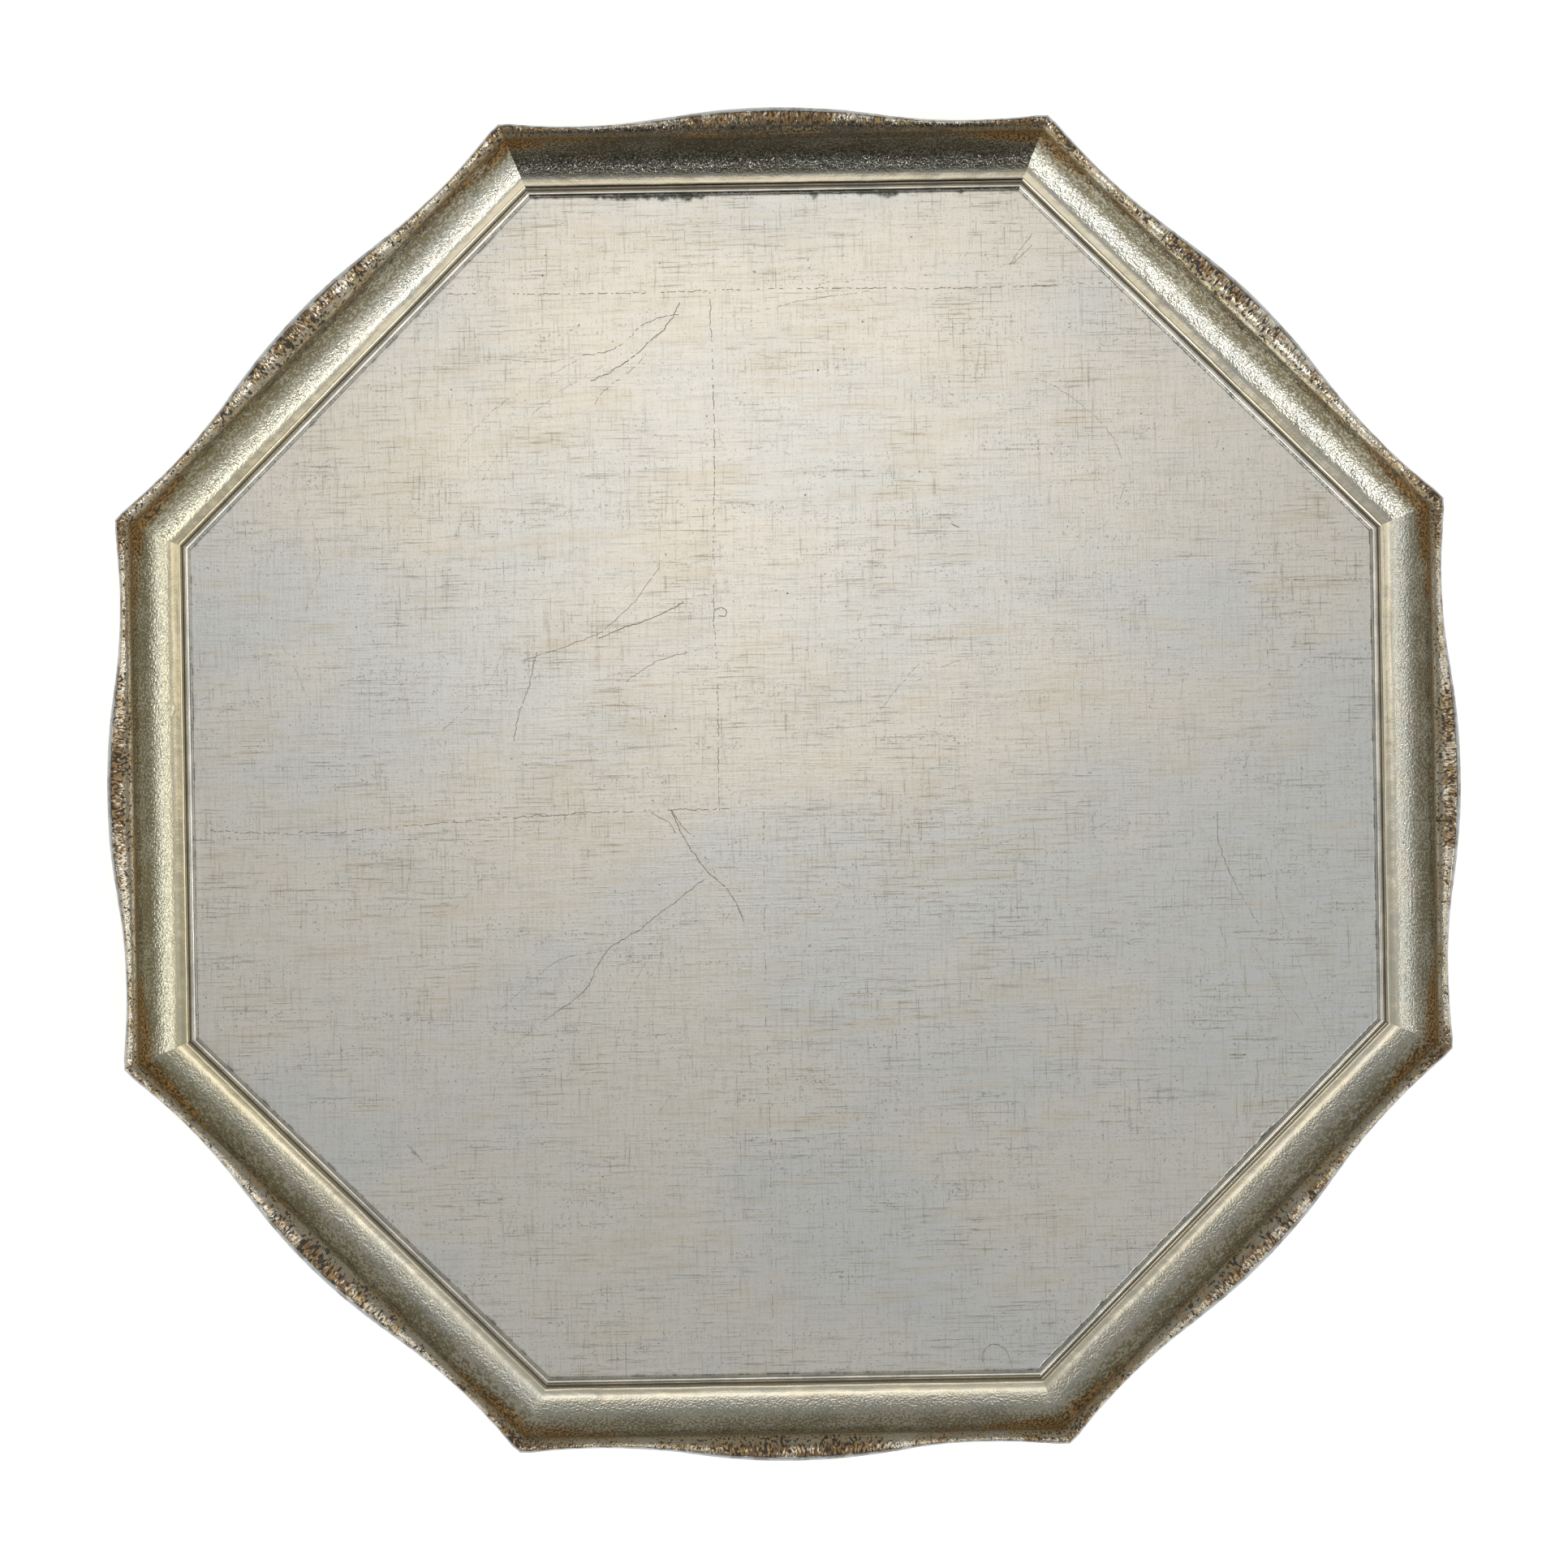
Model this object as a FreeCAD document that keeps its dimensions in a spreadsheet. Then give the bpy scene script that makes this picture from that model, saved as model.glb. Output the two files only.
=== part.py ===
import FreeCAD, Part
import math
import os

import Sketcher

# Octagonal silver-leafed wooden tray: a board let into a rebate under eight mitred rim mouldings.
# Each moulding has a coved inner face, a small bead at its inner edge and a scalloped lip.
# Origin: centre of the underside. +Z is up, the flat sides face +X, the diagonals, +Y and so on.

SIZES = {
    "sides": 8,
    "far_reach": 200.0,  # a reach outside the whole tray, where the cutting outlines end
    # the board and the leafed ground on it
    "board_low": 0.6,  # the board is let in this far above the rims' underside
    "board_top": 6.0,
    "board_reach": 159.8,  # centre to flat side
    "ground_thick": 0.5,
    "ground_reach": 151.2,
    # moulding section, centre to each edge, and heights
    "rebate_reach": 160.0,
    "plinth_reach": 165.0,
    "plinth_top": 10.0,
    "scotia_radius": 13.0,  # hollow under the lip
    "stock_reach": 175.0,  # sawn stock, before the lip is scalloped
    "scotia_top": 20.0,
    "stock_top": 25.0,
    "roll_reach": 171.3,  # where the lip's inner roll is level
    "roll_radius": 5.7,
    "cove_out": 165.6,
    "cove_top": 19.3,
    "cove_radius": 11.7,
    "cove_in": 153.9,
    "cove_low": 7.6,
    "groove_reach": 153.45,
    "groove_low": 6.8,
    "bead_out": 153.1,
    "bead_radius": 0.95,
    "bead_low": 7.0,
    "sight_reach": 151.4,
    "stock_length": 150.0,
    "waste": 2.0,  # how far a cutting outline runs past the stock
    # scalloped lip in plan
    "swell_reach": 172.4,  # middle of a side
    "dip_reach": 168.3,
    "dip_place": 50.0,  # from the middle of the side
    "swell_radius": 155.0,
    # crest of the lip seen from the side
    "crest_top": 24.8,
    "crest_dip": 23.0,
    "crest_radius": 290.0,
    "nose_round": 0.55,
    # feather keys across the mitres
    "key_low": 6.6,
    "key_thick": 1.4,
    "key_base": 172.0,
    "kerf_half": 24.0,
    # brads that hold the board in the rebate
    "brad_reach": 158.0,
    "brad_place": 36.0,  # either side of the middle of each side
    "brad_shank": 0.5,
    "brad_head": 0.9,
    "brad_head_thick": 0.5,
    "brad_point": 1.2,
    "brad_long": 7.5,
}

SIDE_NAMES = ["east", "north_east", "north", "north_west", "west", "south_west", "south", "south_east"]
CORNER_NAMES = ["ene", "nne", "nnw", "wnw", "wsw", "ssw", "sse", "ese"]
HALF_TURN = "180 deg / Sizes.sides"  # from the middle of a side to its mitre

document = FreeCAD.newDocument("octagonal_tray")
sheet = document.addObject("Spreadsheet::Sheet", "Sizes")
for row, (alias, value) in enumerate(SIZES.items(), start=1):
    cell = "A{}".format(row)
    sheet.set(cell, str(value))
    sheet.setAlias(cell, alias)
document.recompute()

side_angle = 360.0 / SIZES["sides"]
mitre_angle = math.radians(side_angle / 2)


def about_z(turn):
    return FreeCAD.Placement(FreeCAD.Vector(), FreeCAD.Rotation(FreeCAD.Vector(0, 0, 1), turn))


def new_body(label, turn):
    """A body that is modelled facing +X and then turned about Z to its own side or corner."""
    body = document.addObject("PartDesign::Body", label)
    body.Label = label
    body.Placement = about_z(turn)
    return body


def origin_plane(body, role):
    return [feature for feature in body.Origin.OriginFeatures if feature.Role == role][0]


def new_sketch(body, name, role):
    sketch = body.newObject("Sketcher::SketchObject", name)
    sketch.AttachmentSupport = (origin_plane(body, role), [""])
    sketch.MapMode = "FlatFace"
    return sketch


def place_point(sketch, edge, point, across, up):
    """Fixes one edge's point by two expressions in the sheet's sizes."""
    for kind, expression in (("DistanceX", across), ("DistanceY", up)):
        if expression == "0":
            axis = -2 if kind == "DistanceX" else -1
            sketch.addConstraint(Sketcher.Constraint("PointOnObject", edge, point, axis))
            continue
        bind(sketch, [(Sketcher.Constraint(kind, -1, 1, edge, point, number(expression)), expression)])


def bind(sketch, sizes):
    """Adds each constraint and ties its value to its expression."""
    for constraint, expression in sizes:
        index = sketch.addConstraint(constraint)
        sketch.setExpression("Constraints[{}]".format(index), expression)


def number(expression):
    """The value of a size, for a sketch's first guess."""
    return 0.0 if expression == "0" else SIZES[expression.replace("Sizes.", "")]


def closed_outline(sketch, corners, arcs):
    """Straight edges from corner to corner; arcs gives (radius, centre side) for the edges that are round."""
    places = [FreeCAD.Vector(number(across), number(up), 0) for across, up in corners]
    count = len(places)
    for index, start in enumerate(places):
        end = places[(index + 1) % count]
        if index not in arcs:
            sketch.addGeometry(Part.LineSegment(start, end), False)
            continue
        radius, side = arcs[index]
        chord = end - start
        middle = (start + end) * 0.5
        across = FreeCAD.Vector(-chord.y, chord.x, 0).normalize() * side
        sag = number(radius) - math.sqrt(max(number(radius) ** 2 - (chord.Length / 2) ** 2, 0))
        sketch.addGeometry(Part.Arc(start, middle - across * sag, end), False)
    for index in range(count):
        ends = [nearest_end(sketch, edge, places[index]) for edge in ((index - 1) % count, index)]
        sketch.addConstraint(Sketcher.Constraint("Coincident", (index - 1) % count, ends[0], index, ends[1]))
        place_point(sketch, index, ends[1], *corners[index])
    for edge, (radius, side) in arcs.items():
        bind(sketch, [(Sketcher.Constraint("Radius", edge, number(radius)), radius)])


def nearest_end(sketch, edge, place):
    """1 for an edge's start point or 2 for its end point, whichever lies at the place."""
    gaps = [(sketch.getPoint(edge, point) - place).Length for point in (1, 2)]
    return 1 + gaps.index(min(gaps))


def cut(body, sketch, name, depth=None):
    """A pocket right through both ways, or upwards to a depth. It must take something away."""
    document.recompute()
    before = body.Shape.Volume
    pocket = body.newObject("PartDesign::Pocket", name)
    pocket.Profile = sketch
    if depth is None:
        pocket.SideType = "Symmetric"
        pocket.setExpression("Length", "2 * Sizes.far_reach")
    else:
        pocket.setExpression("Length", depth)
        pocket.Reversed = True
    document.recompute()
    if body.Shape.Volume >= before:
        raise RuntimeError("{} cuts nothing".format(name))
    return pocket


def moulding_section(body):
    """The moulding's section with the rebate, bead, cove, lip roll, scotia and plinth."""
    sketch = new_sketch(body, "section", "XZ_Plane")
    corners = [
        ("Sizes.rebate_reach", "0"),
        ("Sizes.plinth_reach", "0"),
        ("Sizes.plinth_reach", "Sizes.plinth_top"),
        ("Sizes.stock_reach", "Sizes.scotia_top"),
        ("Sizes.stock_reach", "Sizes.stock_top"),
        ("Sizes.roll_reach", "Sizes.stock_top"),
        ("Sizes.cove_out", "Sizes.cove_top"),
        ("Sizes.cove_in", "Sizes.cove_low"),
        ("Sizes.groove_reach", "Sizes.groove_low"),
        ("Sizes.bead_out", "Sizes.bead_low"),
        ("Sizes.sight_reach", "Sizes.bead_low"),
        ("Sizes.sight_reach", "Sizes.board_top"),
        ("Sizes.rebate_reach", "Sizes.board_top"),
    ]
    arcs = {
        2: ("Sizes.scotia_radius", -1),
        5: ("Sizes.roll_radius", 1),
        6: ("Sizes.cove_radius", -1),
        9: ("Sizes.bead_radius", 1),
    }
    closed_outline(sketch, corners, arcs)
    return sketch


def wave_outline(sketch, swell, dip, radius, stock):
    """Outline beyond a line that swells at the middle and dips at both sides, as tangent arcs.

    The line runs along the sketch's second axis, and the outline closes outside it at the stock's edge.
    """
    top, low, place = SIZES[swell], SIZES[dip], SIZES["dip_place"]
    middle_radius = SIZES[radius]
    drop = top - low
    both = (drop ** 2 + place ** 2) / (2 * drop)  # the two radii added up, from their tangency
    hollow = both - middle_radius
    meet = place * middle_radius / both
    rise = top - (middle_radius - math.sqrt(middle_radius ** 2 - meet ** 2))
    end = SIZES["stock_length"] / 2 + SIZES["waste"]
    tip = low + hollow - math.sqrt(hollow ** 2 - (end - place) ** 2)
    far = SIZES[stock] + SIZES["waste"]
    swell_top = FreeCAD.Vector(top, 0, 0)
    meets = [FreeCAD.Vector(rise, hand * meet, 0) for hand in (1, -1)]
    dips = [FreeCAD.Vector(low, hand * place, 0) for hand in (1, -1)]
    tips = [FreeCAD.Vector(tip, hand * end, 0) for hand in (1, -1)]
    outers = [FreeCAD.Vector(far, hand * end, 0) for hand in (1, -1)]
    edges = [
        Part.Arc(meets[1], swell_top, meets[0]),
        Part.Arc(meets[0], dips[0], tips[0]),
        Part.Arc(tips[1], dips[1], meets[1]),
        Part.LineSegment(tips[0], outers[0]),
        Part.LineSegment(outers[0], outers[1]),
        Part.LineSegment(outers[1], tips[1]),
    ]
    for edge in edges:
        sketch.addGeometry(edge, False)
    joins = [(0, 1, meets[0]), (0, 2, meets[1]), (1, 3, tips[0])]
    joins += [(3, 4, outers[0]), (4, 5, outers[1]), (5, 2, tips[1])]
    for first, second, join in joins:
        ends = (nearest_end(sketch, first, join), nearest_end(sketch, second, join))
        kind = "Tangent" if first == 0 else "Coincident"
        sketch.addConstraint(Sketcher.Constraint(kind, first, ends[0], second, ends[1]))
    for edge in (3, 5):
        sketch.addConstraint(Sketcher.Constraint("Horizontal", edge))
    sketch.addConstraint(Sketcher.Constraint("Vertical", 4))
    sketch.addConstraint(Sketcher.Constraint("PointOnObject", 0, 3, -1))
    # each hollow's centre is level with its lowest place, and its radius follows from the tangency
    fall = "(Sizes.{} - Sizes.{})".format(swell, dip)
    hollow_radius = "({0}^2 + Sizes.dip_place^2) / (2 * {0}) - Sizes.{1}".format(fall, radius)
    half_stock = "Sizes.stock_length / 2 + Sizes.waste"
    bind(sketch, [
        (Sketcher.Constraint("Radius", 0, middle_radius), "Sizes." + radius),
        (Sketcher.Constraint("DistanceX", -1, 1, 0, 3, top - middle_radius),
         "Sizes.{} - Sizes.{}".format(swell, radius)),
        (Sketcher.Constraint("DistanceY", -1, 1, 1, 3, place), "Sizes.dip_place"),
        (Sketcher.Constraint("DistanceY", 2, 3, -1, 1, place), "Sizes.dip_place"),
        (Sketcher.Constraint("Radius", 1, hollow), hollow_radius),
        (Sketcher.Constraint("Radius", 2, hollow), hollow_radius),
        (Sketcher.Constraint("DistanceX", -1, 1, 4, 1, far), "Sizes.{} + Sizes.waste".format(stock)),
        (Sketcher.Constraint("DistanceY", -1, 1, 3, 1, end), half_stock),
        (Sketcher.Constraint("DistanceY", 5, 1, -1, 1, end), half_stock),
    ])


def lip_edges(feature):
    """Names of the edges that run along the outside of the lip's top."""
    names = []
    for index, edge in enumerate(feature.Shape.Edges, start=1):
        box = edge.BoundBox
        if box.ZMin > SIZES["crest_dip"] - 0.1 and box.YLength > 1 and not on_roll(box):
            names.append("Edge{}".format(index))
    return names


def on_roll(box):
    """Whether an edge's highest place is on the lip's inner roll."""
    up = box.ZMax - SIZES["cove_top"]
    inner = SIZES["roll_reach"] - math.sqrt(SIZES["roll_radius"] ** 2 - up ** 2)
    return abs(box.XMax - inner) < SIZES["nose_round"]


def make_rim(label, turn):
    body = new_body(label, turn)
    stock = body.newObject("PartDesign::Pad", "stock")
    stock.Profile = moulding_section(body)
    stock.SideType = "Symmetric"
    stock.setExpression("Length", "Sizes.stock_length")

    scallop = new_sketch(body, "scallop", "XY_Plane")
    wave_outline(scallop, "swell_reach", "dip_reach", "swell_radius", "stock_reach")
    cut(body, scallop, "scalloped_edge")

    crest = new_sketch(body, "crest", "YZ_Plane")
    crest.AttachmentOffset = about_z(90)  # the sketch's first axis points up
    wave_outline(crest, "crest_top", "crest_dip", "crest_radius", "stock_top")
    waved = cut(body, crest, "waved_crest")

    nose = body.newObject("PartDesign::Fillet", "nose")
    nose.Base = (waved, lip_edges(waved))
    nose.setExpression("Radius", "Sizes.nose_round")

    for hand in (1, -1):
        mitre = new_sketch(body, "mitre", "XY_Plane")
        mitre_waste(mitre, hand)
        cut(body, mitre, "mitre_cut")
        kerf = new_sketch(body, "kerf", "XY_Plane")
        corner_frame(kerf, hand)
        rectangle(kerf, "Sizes.key_base", "Sizes.far_reach", "Sizes.kerf_half")
        cut(body, kerf, "key_kerf", "Sizes.key_thick")
        hole = new_sketch(body, "brad_hole", "XY_Plane")
        brad_circle(hole, hand, "Sizes.brad_shank")
        cut(body, hole, "brad_hole_cut", "Sizes.board_low + Sizes.brad_long")
    return body


def mitre_waste(sketch, hand):
    """The triangle of stock beyond the mitre plane at one end."""
    reach = SIZES["far_reach"]
    inner = FreeCAD.Vector(0, 0, 0)
    outer = FreeCAD.Vector(reach, hand * reach * math.tan(mitre_angle), 0)
    corner = FreeCAD.Vector(0, outer.y, 0)
    for start, end in ((inner, outer), (outer, corner), (corner, inner)):
        sketch.addGeometry(Part.LineSegment(start, end), False)
    for first, second in ((0, 1), (1, 2), (2, 0)):
        sketch.addConstraint(Sketcher.Constraint("Coincident", first, 2, second, 1))
    sketch.addConstraint(Sketcher.Constraint("Coincident", 0, 1, -1, 1))
    sketch.addConstraint(Sketcher.Constraint("Horizontal", 1))
    sketch.addConstraint(Sketcher.Constraint("Vertical", 2))
    ends = (-1, 1, 0, 2) if hand > 0 else (0, 2, -1, 1)
    bind(sketch, [
        (Sketcher.Constraint("DistanceX", -1, 1, 0, 2, reach), "Sizes.far_reach"),
        (Sketcher.Constraint("DistanceY", *ends, abs(outer.y)),
         "Sizes.far_reach * tan({})".format(HALF_TURN)),
    ])


def corner_frame(sketch, hand):
    """Turns a sketch to look along the mitre and lifts it to the key's underside."""
    sketch.setExpression("AttachmentOffset.Base.z", "Sizes.key_low")
    sketch.setExpression("AttachmentOffset.Rotation.Angle", "{} * {}".format(hand, HALF_TURN))


def rectangle(sketch, near, far, half):
    start, end, side = number(near), number(far), number(half)
    places = [(start, -side), (end, -side), (end, side), (start, side)]
    for index, place in enumerate(places):
        after = places[(index + 1) % 4]
        sketch.addGeometry(Part.LineSegment(FreeCAD.Vector(*place, 0), FreeCAD.Vector(*after, 0)), False)
    for index in range(4):
        sketch.addConstraint(Sketcher.Constraint("Coincident", index, 2, (index + 1) % 4, 1))
        sketch.addConstraint(Sketcher.Constraint("Vertical" if index % 2 else "Horizontal", index))
    bind(sketch, [
        (Sketcher.Constraint("DistanceX", -1, 1, 0, 1, start), near),
        (Sketcher.Constraint("DistanceX", -1, 1, 0, 2, end), far),
        (Sketcher.Constraint("DistanceY", 0, 1, -1, 1, side), half),
        (Sketcher.Constraint("DistanceY", -1, 1, 2, 1, side), half),
    ])


def brad_circle(sketch, hand, radius):
    centre = FreeCAD.Vector(SIZES["brad_reach"], hand * SIZES["brad_place"], 0)
    sketch.addGeometry(Part.Circle(centre, FreeCAD.Vector(0, 0, 1), number(radius)), False)
    ends = (-1, 1, 0, 3) if hand > 0 else (0, 3, -1, 1)
    bind(sketch, [
        (Sketcher.Constraint("Radius", 0, number(radius)), radius),
        (Sketcher.Constraint("DistanceX", -1, 1, 0, 3, centre.x), "Sizes.brad_reach"),
        (Sketcher.Constraint("DistanceY", *ends, abs(centre.y)), "Sizes.brad_place"),
    ])


def octagon_plate(body, name, reach, low, thick):
    """A flat octagon whose sides face the same ways as the tray's."""
    plate = body.newObject("PartDesign::AdditivePrism", name)
    plate.AttachmentSupport = (origin_plane(body, "XY_Plane"), [""])
    plate.MapMode = "FlatFace"
    plate.setExpression("Polygon", "Sizes.sides")
    plate.setExpression("Circumradius", "{} / cos({})".format(reach, HALF_TURN))
    plate.setExpression("Height", thick)
    plate.setExpression("AttachmentOffset.Base.z", low)
    plate.setExpression("AttachmentOffset.Rotation.Angle", HALF_TURN)
    return plate


def make_board():
    """The board, with a countersunk hole for each brad along every side."""
    body = new_body("tray_panel", 0)
    octagon_plate(body, "board", "Sizes.board_reach", "Sizes.board_low", "Sizes.board_top - Sizes.board_low")
    holes = []
    for hand in (1, -1):
        for radius, depth in (
            ("Sizes.brad_shank", "Sizes.board_top"),
            ("Sizes.brad_head", "Sizes.board_low + Sizes.brad_head_thick"),
        ):
            sketch = new_sketch(body, "brad_hole", "XY_Plane")
            brad_circle(sketch, hand, radius)
            holes.append(cut(body, sketch, "brad_hole_cut", depth))
    round_the_tray(body, holes)
    return body


def round_the_tray(body, features):
    """Repeats features once for every side of the tray."""
    pattern = body.newObject("PartDesign::PolarPattern", "round_the_tray")
    pattern.Originals = features
    pattern.Axis = (origin_plane(body, "Z_Axis"), [""])
    pattern.Angle = 360
    pattern.setExpression("Occurrences", "Sizes.sides")
    body.Tip = pattern


def make_ground():
    """The gesso ground with its leaf, laid on the board inside the bead."""
    body = new_body("panel_ground", 0)
    octagon_plate(body, "ground", "Sizes.ground_reach", "Sizes.board_top", "Sizes.ground_thick")
    return body


def make_key(label, turn):
    """A thin feather glued into the kerfs of two mouldings, flush with their plinths."""
    body = new_body(label, turn)
    sketch = new_sketch(body, "feather", "XY_Plane")
    sketch.setExpression("AttachmentOffset.Base.z", "Sizes.key_low")
    base = SIZES["key_base"]
    tip = SIZES["plinth_reach"] / math.cos(mitre_angle)
    half = (tip - base) / math.tan(mitre_angle)
    places = [FreeCAD.Vector(base, -half, 0), FreeCAD.Vector(tip, 0, 0), FreeCAD.Vector(base, half, 0)]
    for index, place in enumerate(places):
        sketch.addGeometry(Part.LineSegment(place, places[(index + 1) % 3]), False)
    for index in range(3):
        sketch.addConstraint(Sketcher.Constraint("Coincident", index, 2, (index + 1) % 3, 1))
    sketch.addConstraint(Sketcher.Constraint("Vertical", 2))
    sketch.addConstraint(Sketcher.Constraint("PointOnObject", 1, 1, -1))
    sketch.addConstraint(Sketcher.Constraint("Equal", 0, 1))
    corner = "Sizes.plinth_reach / cos({})".format(HALF_TURN)
    bind(sketch, [
        (Sketcher.Constraint("DistanceX", -1, 1, 0, 1, base), "Sizes.key_base"),
        (Sketcher.Constraint("DistanceX", -1, 1, 1, 1, tip), corner),
        (Sketcher.Constraint("DistanceY", 0, 1, 2, 1, 2 * half),
         "2 * ({} - Sizes.key_base) / tan({})".format(corner, HALF_TURN)),
    ])
    pad = body.newObject("PartDesign::Pad", "key")
    pad.Profile = sketch
    pad.setExpression("Length", "Sizes.key_thick")
    return body


def make_brads():
    """All the brads: a flat head let into the board, a shank and a point in the moulding."""
    body = new_body("panel_brads", 0)
    body.AllowCompound = True
    pieces = []
    for hand in (1, -1):
        stack = [
            ("PartDesign::AdditiveCylinder", "head", "Sizes.board_low", "Sizes.brad_head_thick"),
            ("PartDesign::AdditiveCylinder", "shank", "Sizes.board_low + Sizes.brad_head_thick",
             "Sizes.brad_long - Sizes.brad_head_thick - Sizes.brad_point"),
            ("PartDesign::AdditiveCone", "point", "Sizes.board_low + Sizes.brad_long - Sizes.brad_point",
             "Sizes.brad_point"),
        ]
        for kind, name, low, tall in stack:
            piece = body.newObject(kind, name)
            piece.AttachmentSupport = (origin_plane(body, "XY_Plane"), [""])
            piece.MapMode = "FlatFace"
            piece.setExpression("AttachmentOffset.Base.x", "Sizes.brad_reach")
            piece.setExpression("AttachmentOffset.Base.y", "{} * Sizes.brad_place".format(hand))
            piece.setExpression("AttachmentOffset.Base.z", low)
            piece.setExpression("Height", tall)
            if name == "point":
                piece.setExpression("Radius1", "Sizes.brad_shank")
                piece.Radius2 = 0
            else:
                piece.setExpression("Radius", "Sizes.brad_" + name)
            pieces.append(piece)
    round_the_tray(body, pieces)
    return body


parts = [make_board(), make_ground(), make_brads()]
for index, name in enumerate(SIDE_NAMES):
    parts.append(make_rim("rim_" + name, index * side_angle))
for index, name in enumerate(CORNER_NAMES):
    parts.append(make_key("mitre_key_" + name, (index + 0.5) * side_angle))
document.recompute()

for item in document.Objects:
    if "Invalid" in item.State or "Error" in item.State:
        raise RuntimeError("{} failed: {}".format(item.Label, item.State))
os.makedirs("parts", exist_ok=True)
for part in parts:
    if part.Shape.isNull() or not part.Shape.isValid():
        raise RuntimeError("{} has no valid shape".format(part.Label))
for part in parts:
    box = part.Shape.BoundBox
    print("{:16} {:2} solids {:9.0f} mm3  z {:.2f} to {:.2f}".format(
        part.Label, len(part.Shape.Solids), part.Shape.Volume, box.ZMin, box.ZMax))
    part.Shape.exportStep(os.path.join("parts", part.Label + ".step"))
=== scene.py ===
import math
import random

import bpy
import bmesh
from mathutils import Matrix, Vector
from mathutils import noise


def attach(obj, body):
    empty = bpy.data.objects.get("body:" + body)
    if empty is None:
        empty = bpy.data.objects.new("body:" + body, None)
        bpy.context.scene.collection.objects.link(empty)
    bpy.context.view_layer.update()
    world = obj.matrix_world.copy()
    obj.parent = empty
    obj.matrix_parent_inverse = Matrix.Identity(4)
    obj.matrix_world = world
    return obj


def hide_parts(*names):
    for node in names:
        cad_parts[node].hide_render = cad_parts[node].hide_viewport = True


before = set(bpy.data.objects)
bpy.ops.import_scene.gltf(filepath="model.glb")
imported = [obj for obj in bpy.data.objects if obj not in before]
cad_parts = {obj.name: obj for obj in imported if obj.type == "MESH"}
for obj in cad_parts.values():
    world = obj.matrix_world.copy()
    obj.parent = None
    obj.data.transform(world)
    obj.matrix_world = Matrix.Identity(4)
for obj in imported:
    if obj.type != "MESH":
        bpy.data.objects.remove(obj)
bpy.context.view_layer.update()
mm = 0.001

sideNames = ["east", "north_east", "north", "north_west", "west", "south_west", "south", "south_east"]
cornerNames = ["ene", "nne", "nnw", "wnw", "wsw", "ssw", "sse", "ese"]
halfTurn = math.tan(math.radians(22.5))


class Wire:  # one output socket, so that sums on values read as sums
    def __init__(self, bench, socket):
        self.bench = bench
        self.socket = socket

    def join(self, operation, first, second=0.0):
        return self.bench.figure(operation, first, second)

    def __add__(self, other):
        return self.join("ADD", self, other)

    def __radd__(self, other):
        return self.join("ADD", other, self)

    def __sub__(self, other):
        return self.join("SUBTRACT", self, other)

    def __rsub__(self, other):
        return self.join("SUBTRACT", other, self)

    def __mul__(self, other):
        return self.join("MULTIPLY", self, other)

    def __truediv__(self, other):
        return self.join("DIVIDE", self, other)

    def out(self, name):
        return Wire(self.bench, self.socket.node.outputs[name])


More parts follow.
